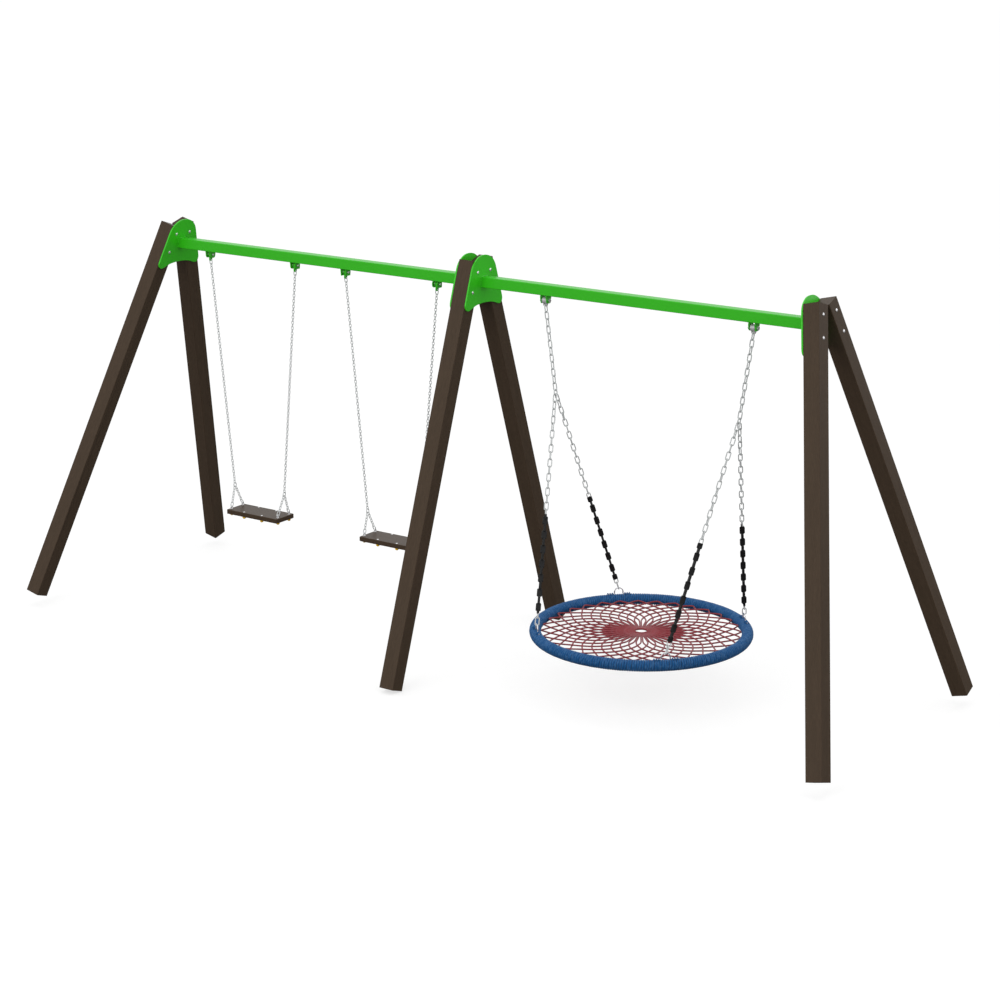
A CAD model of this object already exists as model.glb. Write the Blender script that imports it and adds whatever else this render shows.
import math
import bpy
import numpy as np
from mathutils import Matrix, Vector


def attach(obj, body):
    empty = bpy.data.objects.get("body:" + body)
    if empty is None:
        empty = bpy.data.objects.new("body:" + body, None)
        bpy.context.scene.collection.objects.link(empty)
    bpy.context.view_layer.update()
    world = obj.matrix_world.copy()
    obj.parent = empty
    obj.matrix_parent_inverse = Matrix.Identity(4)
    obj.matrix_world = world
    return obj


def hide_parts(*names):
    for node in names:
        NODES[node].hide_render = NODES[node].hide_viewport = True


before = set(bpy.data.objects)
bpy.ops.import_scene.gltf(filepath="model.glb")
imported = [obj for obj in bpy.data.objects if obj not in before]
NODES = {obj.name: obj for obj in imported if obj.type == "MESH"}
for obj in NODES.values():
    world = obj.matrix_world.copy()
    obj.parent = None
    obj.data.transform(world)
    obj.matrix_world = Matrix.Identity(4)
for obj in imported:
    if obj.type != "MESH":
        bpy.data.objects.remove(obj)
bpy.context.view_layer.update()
rng = np.random.default_rng(7)
MM = 0.001

# ------------------------------------------------------------------ CAD dimensions (mm)
POST_A, POST_L, LEAN, SPLAY, GAP = 90.0, 2330.0, 18.75, 13.5, 11.0
FRAME_X = (-2117.0, 34.5, 2117.0)
APEX = POST_L * math.cos(math.radians(LEAN))
PLATE_T = 8.0
BEAM_TOP = APEX - 65.0
BEAM_A = 58.0
BEAM_BOT = BEAM_TOP - BEAM_A
FLAT_X = (-1546.0, -545.5)
FLAT_HALF = 317.7
FLAT_PIVOT_Z = APEX - 142.0
LUG_DROP, LUG_HOLE_D = 28.0, 12.0
SEAT_TOP = APEX - 1636.0
EYE_X, EYE_Y = 178.0, 50.0
CH_D, CH_W = 3.5, 8.9
CONN_D, CONN_L, CONN_W = 5.0, 24.0, 12.0
SPLIT_L, SPLIT_W = 22.0, 16.0
SPLIT_Z = APEX - 1515.0
CLEAR = 0.9
NEST_X, NEST_HALF = 1116.5, 630.0
NEST_PIVOT_Z = APEX - 152.0
NEYE_DROP = 20.5
LUG_PLAY, NEYE_PLAY = 2.5, 3.3
RING_Z = APEX - 1869.5
RING_R, TUBE_R, WRAP_R = 567.3, 22.0, 31.0
HUB_R, HUB_r = 36.5, 5.5
BOW_D, BOW_R, BOW_TOP = 7.0, 24.0, 72.0
FOOT_D, FOOT_L = 6.0, 40.0
NC_D, NC_W = 6.0, 14.0
NSPLIT_L, NSPLIT_W = 26.0, 20.0
NSPLIT_Z = APEX - 655.0
NSPLIT_X = 560.0
N_UPPER, N_LOWER = 12, 32


# ------------------------------------------------------------------ mesh helpers
class Build:
    """Collects vertices, faces and UVs for one object."""

    def __init__(self):
        self.v, self.f, self.uv, self.n = [], [], [], 0

    def add(self, v, f, uv=None):
        v = np.asarray(v, float)
        self.v.append(v)
        self.f.append(np.asarray(f, int) + self.n)
        if uv is not None:
            self.uv.append(np.asarray(uv, float))
        self.n += len(v)

    def make(self, name, mat, smooth=True):
        v = np.vstack(self.v) * MM
        me = bpy.data.meshes.new(name)
        quads = [f for f in self.f if f.shape[1] == 4]
        tris = [f for f in self.f if f.shape[1] == 3]
        loops = np.concatenate([f.ravel() for f in self.f])
        counts = np.concatenate([np.full(len(f), f.shape[1]) for f in self.f])
        starts = np.concatenate([[0], np.cumsum(counts)[:-1]])
        me.vertices.add(len(v))
        me.vertices.foreach_set("co", v.astype(np.float32).ravel())
        me.loops.add(len(loops))
        me.loops.foreach_set("vertex_index", loops.astype(np.int32))
        me.polygons.add(len(counts))
        me.polygons.foreach_set("loop_start", starts.astype(np.int32))
        me.polygons.foreach_set("loop_total", counts.astype(np.int32))
        if self.uv:
            lay = me.uv_layers.new(name="UVMap")
            lay.data.foreach_set("uv", np.concatenate([u.reshape(-1, 2) for u in self.uv]).astype(np.float32).ravel())
        me.polygons.foreach_set("use_smooth", np.full(len(counts), smooth))
        me.update()
        me.validate()
        ob = bpy.data.objects.new(name, me)
        bpy.context.scene.collection.objects.link(ob)
        me.materials.append(mat)
        return ob


def unit(a):
    a = np.asarray(a, float)
    return a / np.linalg.norm(a, axis=-1, keepdims=True)


def grid_faces(n, m, wrap_n, wrap_m):
    """Quads over an n by m grid of vertices; wraps close the grid."""
    i = np.arange(n if wrap_n else n - 1)
    j = np.arange(m if wrap_m else m - 1)
    I, J = np.meshgrid(i, j, indexing="ij")
    I2, J2 = (I + 1) % n, (J + 1) % m
    f = np.stack([I * m + J, I2 * m + J, I2 * m + J2, I * m + J2], -1).reshape(-1, 4)
    return f, I.ravel(), J.ravel()


def tube(b, pts, ra, rb=None, sides=10, closed=False, up=None, nrm=None, s0=0.0, cap=True, prof=None):
    """Sweeps an ellipse (ra along nrm, rb across) along pts. nrm gives one normal per point."""
    pts = np.asarray(pts, float)
    n = len(pts)
    if closed:
        tan = unit(np.roll(pts, -1, 0) - np.roll(pts, 1, 0))
    else:
        tan = unit(np.gradient(pts, axis=0))
    if nrm is None:
        ref = np.array(up if up is not None else (0, 0, 1), float)
        nrm = np.empty_like(pts)
        cur = ref - tan[0] * (tan[0] @ ref)
        if np.linalg.norm(cur) < 1e-3:
            cur = np.array([1.0, 0, 0]) - tan[0] * tan[0][0]
        for i in range(n):
            cur = cur - tan[i] * (tan[i] @ cur)
            cur = cur / np.linalg.norm(cur)
            nrm[i] = cur
    else:
        nrm = np.asarray(nrm, float)
        nrm = unit(nrm - tan * np.sum(nrm * tan, 1, keepdims=True))
    bi = np.cross(tan, nrm)
    ra = np.broadcast_to(np.asarray(ra, float), (n,))
    rb = ra if rb is None else np.broadcast_to(np.asarray(rb, float), (n,))
    a = np.arange(sides) * 2 * math.pi / sides
    ca, sa = np.cos(a), np.sin(a)
    k = np.ones((n, sides)) if prof is None else prof
    v = pts[:, None] + (nrm[:, None] * (ra[:, None] * ca)[..., None] + bi[:, None] * (rb[:, None] * sa)[..., None]) * k[..., None]
    f, I, J = grid_faces(n, sides, closed, True)
    seg = np.linalg.norm(np.diff(np.vstack([pts, pts[:1]]) if closed else pts, axis=0), axis=1)
    s = s0 + np.concatenate([[0], np.cumsum(seg)])
    if not closed:
        s = np.concatenate([s, [s[-1]]])
    u0, u1, v0, v1 = s[I], s[I + 1], J / sides, (J + 1) / sides
    uv = np.stack([np.stack([u0, v0], -1), np.stack([u1, v0], -1), np.stack([u1, v1], -1), np.stack([u0, v1], -1)], 1)
    verts = v.reshape(-1, 3)
    b.add(verts, f, uv)
    if cap and not closed:
        for end in (0, n - 1):
            c = pts[end] + tan[end] * (-1 if end == 0 else 1) * min(ra[end], rb[end]) * 0.5
            ring = verts[end * sides:(end + 1) * sides]
            vv = np.vstack([ring, c])
            j = np.arange(sides)
            t = np.stack([j, (j + 1) % sides, np.full(sides, sides)], -1)
            if end == 0:
                t = t[:, ::-1]
            b.add(vv, t, np.zeros((sides, 3, 2)) + (s[end], 0))
    return s


def place(v, origin, ex, ey):
    ex, ey = unit(ex), unit(ey)
    ez = np.cross(ex, ey)
    return np.asarray(origin) + v[:, :1] * ex + v[:, 1:2] * ey + v[:, 2:3] * ez


_links = {}


def link_mesh(t, w, c):
    """A welded stadium link in its own XY plane, x along the chain: (verts, faces, uv)."""
    key = (round(t, 4), w, c)
    if key not in _links:
        r, h = w / 2 + c / 2, (t - w) / 2
        arc = np.linspace(math.pi / 2, -math.pi / 2, 11)
        st = np.linspace(-h, h, 9)
        p = np.vstack([
            np.stack([st, np.full(9, r)], 1)[:-1],
            np.stack([h + r * np.cos(arc), r * np.sin(arc)], 1)[:-1],
            np.stack([st[::-1], np.full(9, -r)], 1)[:-1],
            np.stack([-h - r * np.cos(arc), -r * np.sin(arc)], 1)[:-1]])
        p = np.hstack([p, np.zeros((len(p), 1))])
        tan = unit(np.roll(p, -1, 0) - np.roll(p, 1, 0))
        nrm = np.cross(tan, (0, 0, 1))
        # weld swell half way along one side
        swell = 1 + 0.10 * np.exp(-((p[:, 0] / (0.10 * t)) ** 2)) * (p[:, 1] < 0)
        b = Build()
        tube(b, p, c / 2 * swell, sides=10, closed=True, nrm=nrm)
        _links[key] = (b.v[0], b.f[0], b.uv[0])
    return _links[key]


def run_links(start, end, links, g, width0, twist=None):
    s, e = np.asarray(start, float), np.asarray(end, float)
    d = unit(e - s)
    total = np.linalg.norm(e - s)
    cs = [c for _, c, _ in links]
    fixed = sum((t or 0) + c for t, c, _ in links)
    gaps = sum(cs[i] / 2 + cs[i + 1] / 2 + g for i in range(len(cs) - 1))
    free = sum(1 for t, _, _ in links if t is None)
    solved = (total - fixed + gaps) / free if free else None
    w0 = np.asarray(width0, float)
    w0 = unit(w0 - d * (w0 @ d))
    w1 = np.cross(d, w0)
    top, out = 0.0, []
    for i, (t, c, key) in enumerate(links):
        t = solved if t is None else t
        mid = s + d * (top + (t + c) / 2)
        ang = math.radians(90.0 * i + (twist(i) if twist else 0.0))
        out.append((key, mid, d, w0 * math.cos(ang) + w1 * math.sin(ang), t))
        if i + 1 < len(cs):
            top += t + c - (c / 2 + cs[i + 1] / 2 + g)
    return out


def add_link(b, mid, d, w, t, width, c):
    v, f, uv = link_mesh(t, width, c)
    b.add(place(v, mid, d, w), f, uv)


# ------------------------------------------------------------------ material helpers
class Mat:
    def __init__(self, name):
        self.m = bpy.data.materials.new(name)
        self.m.use_nodes = True
        self.nt = self.m.node_tree
        self.nt.nodes.clear()
        self.out = self.n("ShaderNodeOutputMaterial")
        self.bsdf = self.n("ShaderNodeBsdfPrincipled")
        self.nt.links.new(self.bsdf.outputs[0], self.out.inputs[0])

    def n(self, kind, **kw):
        node = self.nt.nodes.new(kind)
        for k, v in kw.items():
            if hasattr(node, k):
                setattr(node, k, v)
        return node

    def link(self, a, b):
        self.nt.links.new(a, b)

    def math(self, op, a, b=None, c=None, clamp=False):
        nd = self.n("ShaderNodeMath", operation=op, use_clamp=clamp)
        for i, x in enumerate((a, b, c)):
            if x is None:
                continue
            if isinstance(x, (int, float)):
                nd.inputs[i].default_value = x
            else:
                self.link(x, nd.inputs[i])
        return nd.outputs[0]

    def coords(self, ex=(1, 0, 0), ey=(0, 1, 0), ez=(0, 0, 1), scale=(1, 1, 1)):
        """Position in metres along three given axes, times scale."""
        tc = self.n("ShaderNodeTexCoord")
        comb = self.n("ShaderNodeCombineXYZ")
        for i, (e, s) in enumerate(zip((ex, ey, ez), scale)):
            vm = self.n("ShaderNodeVectorMath", operation="DOT_PRODUCT")
            self.link(tc.outputs["Object"], vm.inputs[0])
            vm.inputs[1].default_value = [c * s for c in e]
            self.link(vm.outputs["Value"], comb.inputs[i])
        return comb.outputs[0]

    def noise(self, vec, scale, detail=4.0, rough=0.55, dist=0.0):
        nd = self.n("ShaderNodeTexNoise")
        nd.inputs["Scale"].default_value = scale
        nd.inputs["Detail"].default_value = detail
        nd.inputs["Roughness"].default_value = rough
        nd.inputs["Distortion"].default_value = dist
        self.link(vec, nd.inputs["Vector"])
        return nd.outputs["Fac"]

    def ramp(self, fac, stops):
        nd = self.n("ShaderNodeValToRGB")
        cr = nd.color_ramp
        while len(cr.elements) > 1:
            cr.elements.remove(cr.elements[-1])
        cr.elements[0].position = stops[0][0]
        cr.elements[0].color = (*stops[0][1], 1)
        for p, c in stops[1:]:
            e = cr.elements.new(p)
            e.color = (*c, 1)
        self.link(fac, nd.inputs[0])
        return nd.outputs[0]

    def mixc(self, fac, a, b, mode="MIX"):
        nd = self.n("ShaderNodeMix", data_type="RGBA", blend_type=mode)
        for sock, x in ((nd.inputs[0], fac), (nd.inputs[6], a), (nd.inputs[7], b)):
            if isinstance(x, (int, float)):
                sock.default_value = x
            elif isinstance(x, tuple):
                sock.default_value = (*x, 1)
            else:
                self.link(x, sock)
        return nd.outputs[2]

    def bump(self, height, strength, dist, normal=None):
        nd = self.n("ShaderNodeBump")
        nd.inputs["Strength"].default_value = strength
        nd.inputs["Distance"].default_value = dist
        self.link(height, nd.inputs["Height"])
        if normal is not None:
            self.link(normal, nd.inputs["Normal"])
        return nd.outputs[0]

    def bevel(self, radius):
        nd = self.n("ShaderNodeBevel")
        nd.samples = 4
        nd.inputs["Radius"].default_value = radius
        return nd.outputs[0]

    def set(self, color=None, rough=None, metal=None, spec=None, normal=None, coat=None, sheen=None):
        for key, val in (("Base Color", color), ("Roughness", rough), ("Metallic", metal), ("Specular IOR Level", spec),
                         ("Normal", normal), ("Coat Weight", coat), ("Sheen Weight", sheen)):
            if val is None:
                continue
            sock = self.bsdf.inputs[key]
            if isinstance(val, (int, float)):
                sock.default_value = val
            elif isinstance(val, tuple):
                sock.default_value = (*val, 1)
            else:
                self.link(val, sock)
        return self.m


def srgb(r, g, b):
    return tuple((c / 255 / 12.92) if c / 255 <= 0.04045 else ((c / 255 + 0.055) / 1.055) ** 2.4 for c in (r, g, b))


def scale_c(c, k):
    return tuple(min(1.0, x * k) for x in c)


def brown(name, ex, ey, ez, base, seed):
    """Dark brown lumber: long fine grain along ez, pores, slight colour bands, scuffed edges."""
    m = Mat(name)
    g = m.coords(ex, ey, ez, (1, 1, 0.045))
    fine = m.noise(g, 620, 6, 0.62)
    g2 = m.coords(ex, ey, ez, (1, 1, 0.09))
    band = m.noise(g2, 58, 3, 0.5, 0.6)
    iso = m.coords()
    speck = m.noise(iso, 900, 2, 0.5)
    h = m.math("ADD", m.math("MULTIPLY", fine, 0.82), m.math("MULTIPLY", band, 0.18))
    col = m.ramp(h, [(0.30, scale_c(base, 0.70)), (0.5, base), (0.70, scale_c(base, 1.32))])
    sp = m.ramp(speck, [(0.60, (0, 0, 0)), (0.72, (1, 1, 1))])
    col = m.mixc(m.math("MULTIPLY", sp, 0.25), col, scale_c(base, 1.7))
    large = m.noise(iso, 3.1, 2, 0.5)
    col = m.mixc(m.math("MULTIPLY", large, 0.25), col, scale_c(base, 0.8))
    rough = m.math("ADD", 0.27, m.math("MULTIPLY", fine, 0.18))
    nrm = m.bevel(0.0025)
    nrm = m.bump(h, 0.25, 0.0005, nrm)
    return m.set(color=col, rough=rough, spec=0.10, normal=nrm)


def green_mat(name="powder_coat_green", gain=1.0):
    """Powder coat: fine orange peel and a thin clear gloss."""
    m = Mat(name)
    iso = m.coords()
    peel = m.noise(iso, 520, 3, 0.5)
    tone = m.noise(iso, 9, 3, 0.5)
    base = scale_c((0.038, 0.555, 0.0105), gain)
    col = m.mixc(m.math("MULTIPLY", tone, 0.4), base, scale_c(base, 0.86))
    nrm = m.bump(peel, 0.10, 0.0004, m.bevel(0.0014))
    rough = m.math("ADD", 0.30, m.math("MULTIPLY", peel, 0.12))
    return m.set(color=col, rough=rough, spec=0.5, normal=nrm)


def metal_mat(name, base, rough, spangle=0.0, scale=260, metal=0.85):
    m = Mat(name)
    iso = m.coords()
    nz = m.noise(iso, scale, 5, 0.6)
    col = m.ramp(nz, [(0.3, scale_c(base, 0.78)), (0.55, base), (0.8, scale_c(base, 1.12))])
    if spangle:
        vo = m.n("ShaderNodeTexVoronoi")
        vo.inputs["Scale"].default_value = 220
        m.link(iso, vo.inputs["Vector"])
        sep = m.n("ShaderNodeSeparateColor")
        m.link(vo.outputs["Color"], sep.inputs[0])
        col = m.mixc(m.math("MULTIPLY", sep.outputs[0], spangle), col, scale_c(base, 0.62))
    r = m.math("ADD", rough - 0.06, m.math("MULTIPLY", nz, 0.16))
    return m.set(color=col, rough=r, metal=metal, spec=0.5, normal=m.bump(nz, 0.12, 0.0003, m.bevel(0.0006)))


def rubber_mat():
    m = Mat("black_grip_rubber")
    iso = m.coords()
    nz = m.noise(iso, 700, 4, 0.6)
    dust = m.noise(iso, 22, 4, 0.6)
    base = (0.007, 0.007, 0.007)
    col = m.mixc(m.math("MULTIPLY", dust, 0.5), base, (0.016, 0.016, 0.017))
    return m.set(color=col, rough=m.math("ADD", 0.40, m.math("MULTIPLY", nz, 0.15)), spec=0.3, normal=m.bump(nz, 0.2, 0.0003))


def plastic_mat(name, base, rough=0.32):
    m = Mat(name)
    iso = m.coords()
    nz = m.noise(iso, 480, 3, 0.5)
    tone = m.noise(iso, 30, 2, 0.5)
    col = m.mixc(m.math("MULTIPLY", tone, 0.35), base, scale_c(base, 0.82))
    return m.set(color=col, rough=m.math("ADD", rough, m.math("MULTIPLY", nz, 0.1)), spec=0.45, normal=m.bump(nz, 0.08, 0.0002, m.bevel(0.0008)))


def rope_mat(name, base, lay, around, depth, light=1.55, dark=0.5, streaks=0.5, rough=0.55):
    """Laid rope in UV space: u in mm along the rope, v once round it. lay is the strand pitch in mm."""
    m = Mat(name)
    uv = m.n("ShaderNodeUVMap")
    sep = m.n("ShaderNodeSeparateXYZ")
    m.link(uv.outputs[0], sep.inputs[0])
    u, v = sep.outputs[0], sep.outputs[1]

    def wave(k, a):
        x = m.math("ADD", m.math("MULTIPLY", u, k), m.math("MULTIPLY", v, a))
        return m.math("ABSOLUTE", m.math("SINE", m.math("MULTIPLY", x, math.pi)))

    w1 = wave(1.0 / lay, around)
    w2 = wave(1.0 / lay, -around)
    plait = m.math("MAXIMUM", m.math("MULTIPLY", w1, 1.0), m.math("MULTIPLY", w2, 0.82))
    yarn = wave(4.0 / lay, around * 3)
    iso = m.coords()
    fuzz = m.noise(iso, 1500, 3, 0.6)
    blot = m.noise(iso, 38, 3, 0.55)
    cu = m.n("ShaderNodeCombineXYZ")
    m.link(m.math("MULTIPLY", u, 0.045), cu.inputs[0])
    m.link(m.math("MULTIPLY", v, 2.0), cu.inputs[1])
    streak = m.noise(cu.outputs[0], 1.0, 3, 0.6)
    h = m.math("ADD", m.math("MULTIPLY", plait, 0.72), m.math("ADD", m.math("MULTIPLY", yarn, 0.14), m.math("MULTIPLY", fuzz, 0.14)))
    col = m.ramp(h, [(0.25, scale_c(base, dark)), (0.62, base), (0.98, scale_c(base, light))])
    col = m.mixc(m.math("MULTIPLY", blot, 0.35), col, scale_c(base, 0.72))
    sk = m.ramp(streak, [(0.47, (0, 0, 0)), (0.62, (1, 1, 1))])
    col = m.mixc(m.math("MULTIPLY", sk, streaks), col, tuple(min(1.0, c * 1.2 + q) for c, q in zip(base, (0.058, 0.076, 0.082))))
    nrm = m.bump(h, 0.75, depth)
    return m.set(color=col, rough=m.math("ADD", rough, m.math("MULTIPLY", fuzz, 0.2)), spec=0.35, normal=nrm, sheen=0.1)


BROWN = (0.0712, 0.0484, 0.0317)
MAT_GREEN = green_mat()
MAT_PLATE = green_mat("powder_coat_green_plate", 1.14)
MAT_ZINC = metal_mat("bright_zinc", (0.93, 0.93, 0.95), 0.20, metal=0.85)
MAT_CHAIN = metal_mat("galvanised_chain", (0.72, 0.745, 0.745), 0.40, 0.22, metal=0.12)
MAT_BEARING = metal_mat("galvanised_casting", (0.62, 0.62, 0.63), 0.34, 0.2, metal=0.3)
MAT_RUBBER = rubber_mat()
MAT_CAP = plastic_mat("yellow_cap", srgb(252, 197, 20))
MAT_NYLON = plastic_mat("white_nylon", (0.62, 0.62, 0.58), 0.4)
MAT_BLUE = rope_mat("blue_rope", srgb(2, 80, 136), 9.0, 4, 0.0009, 1.45, 0.4, 0.62)
MAT_BLUE_IN = rope_mat("blue_rope_shadow", srgb(6, 30, 62), 9.0, 4, 0.0006, 1.2, 0.6)
MAT_RED = rope_mat("red_rope", srgb(136, 38, 47), 7.5, 3, 0.0006, 1.35, 0.6, 0.5, 0.36)


def paint(node, mat):
    me = NODES[node].data
    me.materials.clear()
    me.materials.append(mat)
    if hasattr(me, "shade_smooth"):
        pass


# ------------------------------------------------------------------ posts, plates, beams
names = ("left", "middle", "right")
for i, nm in enumerate(names):
    be = math.radians((-SPLAY, 0, SPLAY)[i])
    al = math.radians(LEAN)
    U = np.array([math.cos(be), 0, math.sin(be)])
    W = np.array([-math.sin(be), 0, math.cos(be)])
    for sg, side in ((-1, "front"), (1, "back")):
        ez = -sg * math.sin(al) * np.array([0, 1.0, 0]) + math.cos(al) * W
        ey = np.cross(ez, U)
        paint("post_%s_%s" % (nm, side), brown("lumber_%s_%s" % (nm, side), tuple(U), tuple(ey), tuple(ez), BROWN, i))
for p in ("left", "middle_left", "middle_right", "right"):
    paint("plate_" + p, MAT_PLATE)
for p in ("flat_bay", "nest_bay"):
    paint("beam_" + p, MAT_GREEN)
for nm in names:
    paint("frame_bolts_" + nm, MAT_ZINC)
    paint("frame_nuts_" + nm, MAT_ZINC)
MAT_PLANK = brown("plank_lumber", (0, 1, 0), (0, 0, 1), (1, 0, 0), scale_c(BROWN, 0.95), 5)
for n in ("1", "2", "nest"):
    paint("hanger_ears_" + n, MAT_GREEN)
    paint("hanger_bolts_" + n, MAT_ZINC)
    paint("hanger_nuts_" + n, MAT_ZINC)
    paint("hanger_bushes_" + n, MAT_NYLON)
for n in ("1", "2"):
    paint("hanger_lugs_" + n, MAT_GREEN)
    paint("seat_" + n, MAT_PLANK)
    paint("seat_eye_bolts_" + n, MAT_ZINC)
    paint("seat_bolts_" + n, MAT_ZINC)
    paint("seat_nuts_" + n, MAT_ZINC)
    paint("seat_caps_" + n, MAT_CAP)
paint("hanger_bearings_nest", MAT_BEARING)
paint("rim_tube_nest", MAT_BEARING)
paint("rim_bows_nest", MAT_ZINC)
for n in ("upper_chains_1", "upper_chains_2", "upper_chains_nest", "lower_chains_1", "lower_chains_2", "lower_chains_nest"):
    paint(n, MAT_CHAIN)
paint("chain_grips_nest", MAT_RUBBER)
paint("rope_wrap_nest", MAT_BLUE)
paint("net_nest", MAT_RED)
paint("net_hub_nest", MAT_RED)

# weld beads where the beams meet the plates and the ears meet the beams
def bead(b, a, c, r, seed):
    """A run of weld ripples from a to c, in mm."""
    a, c = np.asarray(a, float), np.asarray(c, float)
    L = np.linalg.norm(c - a)
    n = max(6, int(L / 1.3))
    t = np.linspace(0, 1, n)
    p = a + (c - a) * t[:, None]
    rip = 1 + 0.10 * np.sin(t * L / 3.2 * 2 * math.pi) + 0.05 * np.sin(t * L / 11.0 * 2 * math.pi + seed)
    rip *= np.clip(np.minimum(t, 1 - t) * L / (1.5 * r) + 0.35, 0, 1)
    tube(b, p, r * rip, sides=8)


welds = Build()
k = 0
for ia, sg, xdir in ((0, 1, 1), (1, -1, -1), (1, 1, 1), (2, -1, -1)):
    be = math.radians((-SPLAY, 0, SPLAY)[ia])
    u = sg * (POST_A / 2 + PLATE_T)

    def on_plate(y, z):
        # x of the plate's outer face at height z
        w = (z - APEX - u * math.sin(be)) / math.cos(be)
        return (FRAME_X[ia] + u * math.cos(be) - w * math.sin(be), y, z)
    h = BEAM_A / 2
    zt, zb = BEAM_TOP, BEAM_BOT
    for p, q in (((-h, zt), (h, zt)), ((h, zt), (h, zb)), ((h, zb), (-h, zb)), ((-h, zb), (-h, zt))):
        k += 1
        bead(welds, on_plate(*p), on_plate(*q), 2.6, k)
for cx, half, gap, t, wtop in ((FLAT_X[0], FLAT_HALF, 26.0, 5.0, 48.0), (FLAT_X[1], FLAT_HALF, 26.0, 5.0, 48.0), (NEST_X, NEST_HALF, 31.0, 6.0, 50.0)):
    for s in (-1, 1):
        for e in (-1, 1):
            x = cx + s * half + e * (gap / 2 + t + 0.2)
            k += 1
            bead(welds, (x, -wtop / 2, BEAM_BOT - 0.3), (x, wtop / 2, BEAM_BOT - 0.3), 1.7, k)
w_ob = welds.make("weld_beads", MAT_GREEN)
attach(w_ob, "frame")

# ------------------------------------------------------------------ chains of the flat swings
for n, cx in enumerate(FLAT_X, start=1):
    up, lo = Build(), Build()
    for kx in (-1, 1):
        start = np.array([cx + kx * FLAT_HALF, 0, FLAT_PIVOT_Z - LUG_DROP - LUG_HOLE_D / 2 + LUG_PLAY + CONN_D / 2])
        slope = (FLAT_HALF - EYE_X) / (start[2] - SEAT_TOP - 11)
        end = np.array([cx + kx * (FLAT_HALF - slope * (start[2] - SPLIT_Z)), 0, SPLIT_Z])
        links = [(CONN_L, CONN_D, "conn")] + [(None, CH_D, "small")] * 82 + [(SPLIT_L, CONN_D, "split")]
        for key, mid, d, w, t in run_links(start, end, links, CLEAR, (1, 0, 0), twist=lambda i: -18.0 * min(1.0, i / 5.0, (83 - i) / 5.0)):
            add_link(up, mid, d, w, t, {"conn": CONN_W, "small": CH_W, "split": SPLIT_W}[key], CH_D if key == "small" else CONN_D)
        o = end - unit(end - start) * (SPLIT_W / 2 + CONN_D / 2)
        for m in (-1, 1):
            hy = 3.2
            hz = math.sqrt((SPLIT_W / 2 - CH_D / 2 - 0.75) ** 2 - hy ** 2)
            s0 = (o[0], m * hy, o[2] - hz)
            e0 = (cx + kx * EYE_X, m * EYE_Y, SEAT_TOP + 18.0 - (CONN_D / 2 + 2.75 + 0.8))
            lk = [(None, CH_D, "small")] * 6 + [(CONN_L, CONN_D, "conn")]
            for key, mid, d, w, t in run_links(s0, e0, lk, CLEAR, (1, 0, 0)):
                add_link(lo, mid, d, w, t, CONN_W if key == "conn" else CH_W, CONN_D if key == "conn" else CH_D)
    a = up.make("chain_upper_%d" % n, MAT_CHAIN)
    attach(a, "swing_%d" % n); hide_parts("upper_chains_%d" % n)
    c = lo.make("chain_lower_%d" % n, MAT_CHAIN)
    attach(c, "seat_%d" % n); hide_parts("lower_chains_%d" % n)

# ------------------------------------------------------------------ nest: chains, grips, bows
def grip_shape(length, width, thick):
    """A rubber-coated link: rounded octagon slab with a raised rim and a shallow middle."""
    nx, nr = 22, 20
    v = []
    x = np.linspace(-1, 1, nx)
    x = np.sin(x * math.pi / 2)
    for xi in x:
        e = abs(xi)
        wid = width / 2 * (1 - 0.24 * max(0.0, (e - 0.80) / 0.20) ** 1.1)
        thk = thick / 2 * (1 - 0.14 * max(0.0, (e - 0.80) / 0.20))
        if e > 0.999:
            wid *= 0.72; thk *= 0.72
        for j in range(nr):
            a = 2 * math.pi * j / nr
            ca, sa = math.cos(a), math.sin(a)
            yy = wid * math.copysign(abs(ca) ** 0.45, ca)
            zz = thk * math.copysign(abs(sa) ** 0.45, sa)
            dish = 0.20 * math.exp(-((yy / (0.42 * wid)) ** 2)) * max(0.0, 1 - (e / 0.62) ** 4)
            v.append((xi * length / 2, yy, zz * (1 - dish)))
    v = np.array(v)
    f, I, J = grid_faces(nx, nr, False, True)
    faces = [f]
    j = np.arange(nr)
    c0, c1 = len(v), len(v) + 1
    v = np.vstack([v, [(-length / 2 - 0.4, 0, 0), (length / 2 + 0.4, 0, 0)]])
    faces.append(np.stack([(j + 1) % nr, j, np.full(nr, c0)], -1))
    faces.append(np.stack([(nx - 1) * nr + j, (nx - 1) * nr + (j + 1) % nr, np.full(nr, c1)], -1))
    return v, faces


up, lo, gr, bw, lash = Build(), Build(), Build(), Build(), Build()
BOW_WIRE_Z = RING_Z + BOW_TOP - BOW_D / 2
g_full = grip_shape(43.0, 28.0, 11.5)
g_cap = grip_shape(30.0, 28.0, 11.5)


def add_block(shape, mid, d, w):
    v, faces = shape
    base = place(v, mid, d, w)
    n0 = gr.n
    gr.v.append(base)
    for f in faces:
        gr.f.append(f + n0)
    gr.n += len(base)


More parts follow.
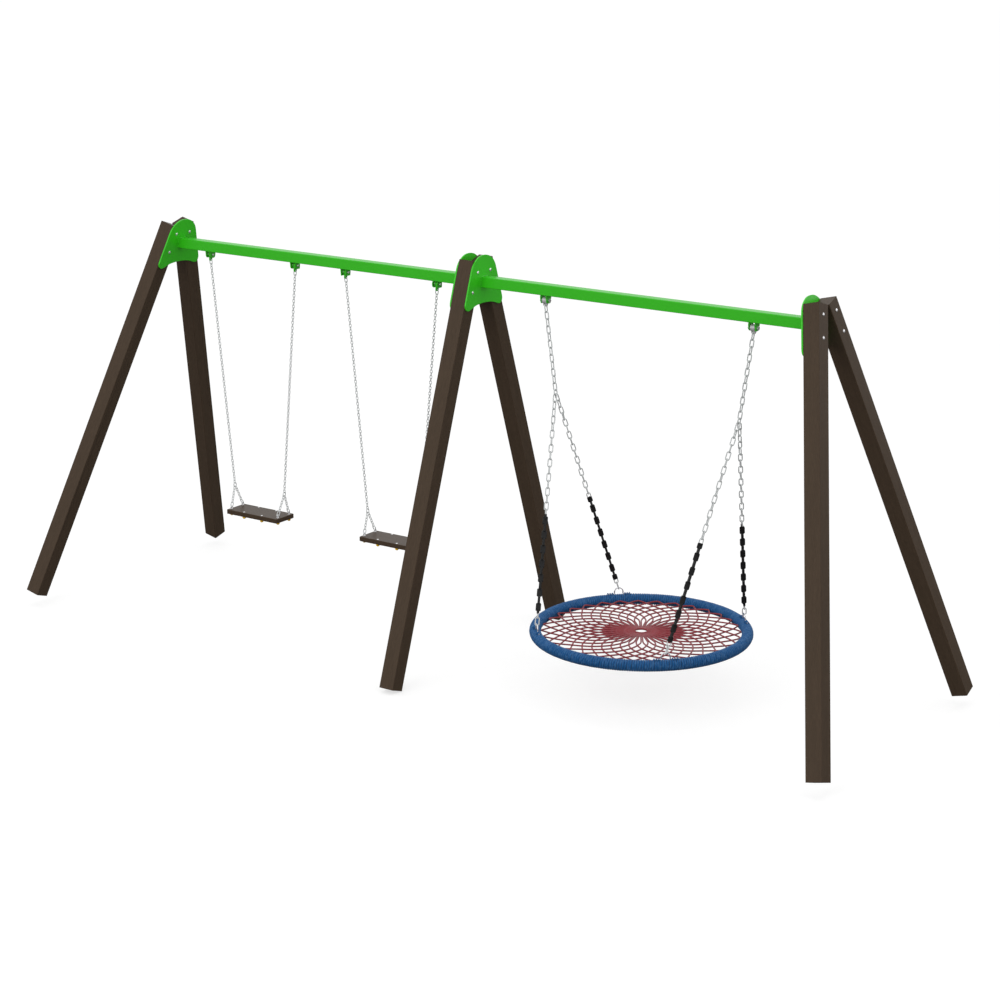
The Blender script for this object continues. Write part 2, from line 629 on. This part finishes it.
for kx in (-1, 1):
    x = NEST_X + kx * NEST_HALF
    su = np.array([x, 0, NEST_PIVOT_Z - NEYE_DROP - 6.5 + NEYE_PLAY + NC_D / 2])
    eu = np.array([NEST_X + kx * NSPLIT_X, 0, NSPLIT_Z])
    links = [(None, NC_D, "chain")] * N_UPPER + [(NSPLIT_L, NC_D, "split")]
    for key, mid, d, w, t in run_links(su, eu, links, CLEAR, (0, 1, 0)):
        add_link(up, mid, d, w, t, NSPLIT_W if key == "split" else NC_W, NC_D)
    o = eu - unit(eu - su) * (NSPLIT_W / 2 + NC_D / 2)
    for m in (-1, 1):
        hy = 4.0
        hz = math.sqrt((NSPLIT_W / 2 - NC_D / 2 - 0.8) ** 2 - hy ** 2)
        s0 = np.array([o[0], m * hy, o[2] - hz])
        rad = np.array([kx * math.sqrt(0.5), m * math.sqrt(0.5), 0])
        tn = np.array([-rad[1], rad[0], 0])
        bc = np.array([NEST_X, 0, 0]) + rad * RING_R
        e0 = np.array([bc[0], bc[1], BOW_WIRE_Z - BOW_D / 2 - 0.9 - NC_D / 2])
        d = unit(e0 - s0)
        w_end = unit(rad - d * (rad @ d))
        w_x = unit(np.array([1.0, 0, 0]) - d * d[0])
        perp = np.cross(d, w_x)
        target = math.degrees(math.atan2(w_end @ perp, w_end @ w_x)) - 90.0 * (N_LOWER - 1)
        target = (target + 90.0) % 180.0 - 90.0
        got = run_links(s0, e0, [(None, NC_D, "chain")] * N_LOWER, CLEAR, w_x, twist=lambda i: target * min(1.0, i / 6.0))
        for j, (key, mid, dd, w, t) in enumerate(got, start=1):
            kk = N_LOWER - j
            if kk in range(2, 15):
                add_block(g_full, mid, dd, w)
            else:
                if kk in (1, 15):
                    add_block(g_cap, mid + dd * (18.0 if kk == 15 else -18.0), dd, w)
                add_link(lo, mid, dd, w, t, NC_W, NC_D)
        # bow: one bent wire, its feet laid along the crest of the wrap
        arc_z, foot = BOW_WIRE_Z - BOW_R, RING_Z + WRAP_R + FOOT_D / 2
        bend = 5.0
        half = [(BOW_R + FOOT_L - q, foot) for q in np.linspace(0, FOOT_L - bend, 9)]
        half += [(BOW_R + bend - bend * math.sin(q), foot + bend - bend * math.cos(q)) for q in np.linspace(0, math.pi / 2, 7)[1:]]
        half += [(BOW_R, q) for q in np.linspace(foot + bend, arc_z, 5)[1:]]
        half += [(BOW_R * math.cos(q), arc_z + BOW_R * math.sin(q)) for q in np.linspace(0, math.pi / 2, 13)[1:]]
        path = half + [(-q, z) for q, z in half[::-1][1:]]
        p = [bc + tn * q + np.array([0, 0, z]) for q, z in path]
        thick = [BOW_D / 2 if z > foot + bend else FOOT_D / 2 + (BOW_D - FOOT_D) / 2 * (z - foot) / bend for q, z in path]
        tube(bw, p, np.array(thick), sides=14, nrm=np.tile(rad, (len(p), 1)))
        # turns of the wrap's rope laid over the feet
        for sd in (-1, 1):
            for q in (BOW_R + 12.0, BOW_R + 24.5, BOW_R + 37.0):
                qa = np.linspace(-1, 1, 17)
                y = 11.0 * qa
                z = RING_Z + 30.2 + 7.3 * (1 - np.abs(qa) ** 2.2)
                pl = [bc + tn * (sd * q) + rad * (yy - q * q / (2 * RING_R) * 0) + np.array([0, 0, zz]) for yy, zz in zip(y, z)]
                tube(lash, pl, 2.5, 3.0, sides=8, nrm=np.array([unit(rad * yy * 0.9 + np.array([0, 0, 8.0])) for yy in y]))
ob = up.make("chain_upper_nest", MAT_CHAIN)
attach(ob, "nest_hanger"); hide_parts("upper_chains_nest")
ob = lo.make("chain_lower_nest", MAT_CHAIN)
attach(ob, "nest"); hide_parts("lower_chains_nest")
ob = gr.make("chain_grip_sleeves", MAT_RUBBER)
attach(ob, "nest"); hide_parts("chain_grips_nest")
ob = bw.make("rim_bows", MAT_ZINC)
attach(ob, "nest"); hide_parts("rim_bows_nest")
ob = lash.make("bow_lashings", MAT_BLUE)
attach(ob, "nest")

# ------------------------------------------------------------------ nest: rope wrap
C = np.array([NEST_X, 0, RING_Z])
TURNS = 285
RHO, HALF_T = 26.2, 5.3
per = 29
N = TURNS * per
phi = np.arange(N) / per * 2 * math.pi
th = phi / TURNS
wob = rng.normal(0, 1, TURNS)
wob = np.interp(np.arange(N) / per, np.arange(TURNS), wob)
th = th + 0.0010 * wob * np.sin(phi + 1.3)
rho = RHO + 0.22 * np.interp(np.arange(N) / per, np.arange(TURNS), rng.normal(0, 1, TURNS))
cr = np.stack([np.cos(th), np.sin(th), np.zeros(N)], 1)
pts = C + cr * (RING_R + rho * np.cos(phi))[:, None] + np.stack([np.zeros(N), np.zeros(N), rho * np.sin(phi)], 1)
nrm = cr * np.cos(phi)[:, None] + np.stack([np.zeros(N), np.zeros(N), np.sin(phi)], 1)
pitch = 2 * math.pi * (RING_R + rho * np.cos(phi)) / TURNS
b = Build()
tube(b, pts, HALF_T, pitch / 2 * 0.94, sides=12, closed=True, nrm=nrm)
wrap = b.make("rope_wrap", MAT_BLUE)
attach(wrap, "nest")
# under layer that closes the valleys between the turns
b = Build()
n1, n2 = 220, 20
T, F = np.meshgrid(np.arange(n1) / n1 * 2 * math.pi, np.arange(n2) / n2 * 2 * math.pi, indexing="ij")
rr = 26.6
v = C + np.stack([(RING_R + rr * np.cos(F)) * np.cos(T), (RING_R + rr * np.cos(F)) * np.sin(T), rr * np.sin(F)], -1).reshape(-1, 3)
f, I, J = grid_faces(n1, n2, True, True)
uv = np.stack([np.stack([I * 16.2, J / n2], -1), np.stack([(I + 1) * 16.2, J / n2], -1), np.stack([(I + 1) * 16.2, (J + 1) / n2], -1), np.stack([I * 16.2, (J + 1) / n2], -1)], 1)
b.add(v, f, uv)
under = b.make("rope_wrap_under", MAT_BLUE_IN)
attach(under, "nest"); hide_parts("rope_wrap_nest")

# ------------------------------------------------------------------ nest: net
LOOPS = 32
ROPE = 4.2
STEP = 360.0 / LOOPS / 2
r_hub = HUB_R + 2.0
# radius against the number of crossings passed since the rim
KNOTS = [(0, 537.0), (1, 491.0), (2, 445.0), (3, 410.0), (4, 375.5), (5, 337.0), (6, 295.5), (7, 241.0), (8, 172.0), (8.5, 130.0), (8.7, 108.0)]


def cubic(xs, ys, x):
    """Natural cubic spline through the knots."""
    xs, ys = np.asarray(xs, float), np.asarray(ys, float)
    n = len(xs)
    h = np.diff(xs)
    A = np.eye(n)
    r = np.zeros(n)
    for i in range(1, n - 1):
        A[i, i - 1], A[i, i], A[i, i + 1] = h[i - 1], 2 * (h[i - 1] + h[i]), h[i]
        r[i] = 6 * ((ys[i + 1] - ys[i]) / h[i] - (ys[i] - ys[i - 1]) / h[i - 1])
    m = np.linalg.solve(A, r)
    i = np.clip(np.searchsorted(xs, x) - 1, 0, n - 2)
    t0, t1 = xs[i + 1] - x, x - xs[i]
    return (m[i] * t0 ** 3 + m[i + 1] * t1 ** 3) / (6 * h[i]) + (ys[i] / h[i] - m[i] * h[i] / 6) * t0 + (ys[i + 1] / h[i] - m[i + 1] * h[i] / 6) * t1


# radius runs inwards; the sweep follows it, and the strand ends radial at the hub
kr = [r for _, r in KNOTS][::-1]
km = [m for m, _ in KNOTS][::-1]
rad_s = np.concatenate([np.linspace(537.0, 110.0, 96), np.linspace(104.0, r_hub, 16)])
m_idx = cubic(kr, km, np.maximum(rad_s, 108.0))
# past the last crossing the two families run side by side, in pairs, down to the hub
reach = np.radians(m_idx * STEP)
limit = math.radians(8 * STEP) - np.minimum(ROPE, rad_s * math.pi / (2 * LOOPS)) / rad_s
sweep_a = 0.5 * (reach + limit - np.sqrt((reach - limit) ** 2 + 0.022 ** 2))
sweep_a = np.where(rad_s > 300.0, reach, sweep_a + (reach - sweep_a) * np.clip((rad_s - 200.0) / 100.0, 0, 1))
b = Build()
rim_fade = np.clip((rad_s[0] - rad_s) / 26.0, 0, 1)
hub_fade = np.clip((rad_s - 185.0) / 45.0, 0, 1)
layer = 1.55 * rim_fade * rim_fade * (3 - 2 * rim_fade) * hub_fade * hub_fade * (3 - 2 * hub_fade)
sag = -2.0 * (1 - (rad_s / rad_s[0]) ** 2)
for i in range(LOOPS):
    a0 = 2 * math.pi * i / LOOPS + 0.0011 * rng.normal()
    L = np.stack([rad_s * np.cos(a0 + sweep_a), rad_s * np.sin(a0 + sweep_a), layer + sag], 1)
    R_ = np.stack([rad_s * np.cos(a0 - sweep_a), rad_s * np.sin(a0 - sweep_a), -layer + sag], 1)
    A, Bp = R_[::-1][:-2], L[2:]
    apex = np.array([rad_s[0] * math.cos(a0), rad_s[0] * math.sin(a0), 0])
    t = np.linspace(0, 1, 8)[1:-1, None]
    arc = (1 - t) ** 2 * A[-1] + 2 * t * (1 - t) * apex * 1.004 + t ** 2 * Bp[0]
    tube(b, np.vstack([A, arc, Bp]) + C, ROPE, sides=9, up=(0, 0, 1))
net = b.make("net_strands", MAT_RED)
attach(net, "nest"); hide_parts("net_nest")
# centre ring, bound with rope
b = Build()
turns, per = 34, 24
N = turns * per
ph = np.arange(N) / per * 2 * math.pi
th = ph / turns
cr = np.stack([np.cos(th), np.sin(th), np.zeros(N)], 1)
pts = C + cr * (HUB_R + 3.9 * np.cos(ph))[:, None] + np.stack([np.zeros(N), np.zeros(N), 3.9 * np.sin(ph)], 1)
nrm = cr * np.cos(ph)[:, None] + np.stack([np.zeros(N), np.zeros(N), np.sin(ph)], 1)
tube(b, pts, 2.3, 3.3, sides=8, closed=True, nrm=nrm)
hub = b.make("net_centre_ring", MAT_RED)
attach(hub, "nest"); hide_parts("net_hub_nest")

# ------------------------------------------------------------------ stage
bpy.ops.mesh.primitive_plane_add(size=120, location=(0, 0, 0))
floor = bpy.context.object
floor.name = "floor"
fm = Mat("pale_floor")
# the camera sees a white sweep with soft contact shadows; the object sees a pale grey one
fn = fm.noise(fm.coords(), 2.0, 3, 0.5)
tone = fm.ramp(fn, [(0.3, (0.44, 0.44, 0.44)), (0.7, (0.45, 0.45, 0.45))])
fm.set(color=tone, rough=0.9, spec=0.0)
fm.bsdf.inputs["Emission Color"].default_value = (1, 1, 1, 1)
fm.bsdf.inputs["Emission Strength"].default_value = 0.64
other = fm.n("ShaderNodeBsdfDiffuse")
other.inputs["Color"].default_value = (0.16, 0.16, 0.16, 1)
lp = fm.n("ShaderNodeLightPath")
mixs = fm.n("ShaderNodeMixShader")
fm.link(lp.outputs["Is Camera Ray"], mixs.inputs[0])
fm.link(other.outputs[0], mixs.inputs[1])
fm.link(fm.bsdf.outputs[0], mixs.inputs[2])
fm.link(mixs.outputs[0], fm.out.inputs[0])
floor.data.materials.append(fm.m)

world = bpy.data.worlds.new("studio")
bpy.context.scene.world = world
world.use_nodes = True
nt = world.node_tree
nt.nodes.clear()
wo = nt.nodes.new("ShaderNodeOutputWorld")
bg = nt.nodes.new("ShaderNodeBackground")
nt.links.new(bg.outputs[0], wo.inputs[0])
bg.inputs[0].default_value = (1, 1, 1, 1)
lp = nt.nodes.new("ShaderNodeLightPath")
mx = nt.nodes.new("ShaderNodeMix")
mx.data_type = "FLOAT"
nt.links.new(lp.outputs["Is Diffuse Ray"], mx.inputs[0])
mx.inputs[2].default_value = 1.02
mx.inputs[3].default_value = 0.86
nt.links.new(mx.outputs[0], bg.inputs[1])


def area(name, loc, target, size, power, glossy=False):
    d = bpy.data.lights.new(name, "AREA")
    d.energy = power
    d.size = size
    o = bpy.data.objects.new(name, d)
    bpy.context.scene.collection.objects.link(o)
    o.location = loc
    o.rotation_mode = "QUATERNION"
    o.rotation_quaternion = (Vector(target) - Vector(loc)).to_track_quat("-Z", "Y")
    o.visible_glossy = glossy
    return o


area("front_soft", (-1.0, -11.0, 6.0), (0, 0, 1.1), 8.0, 390)
area("side_soft", (10.5, -1.5, 1.4), (0, 0, 1.9), 5.0, 84)

cam_d = bpy.data.cameras.new("camera")
cam = bpy.data.objects.new("camera", cam_d)
bpy.context.scene.collection.objects.link(cam)
bpy.context.scene.camera = cam
cam_d.sensor_width = 36.0
cam_d.sensor_fit = "AUTO"
cam_d.lens = 89.673
cam_d.shift_x, cam_d.shift_y = -0.00239, 0.1197
cam_d.clip_end = 200
right = Vector((0.81619, 0.57778, 0.0))
fwd = Vector((-0.54918, 0.77579, -0.31073))
upv = Vector((-0.17953, 0.25361, 0.9505))
rot = Matrix((right, upv, -fwd)).transposed()
cam.matrix_world = Matrix.Translation((7.8186, -10.7522, 4.5352)) @ rot.to_4x4()

bpy.context.scene.view_settings.view_transform = "Standard"
bpy.context.scene.view_settings.look = "None"
bpy.context.scene.view_settings.exposure = 0.0
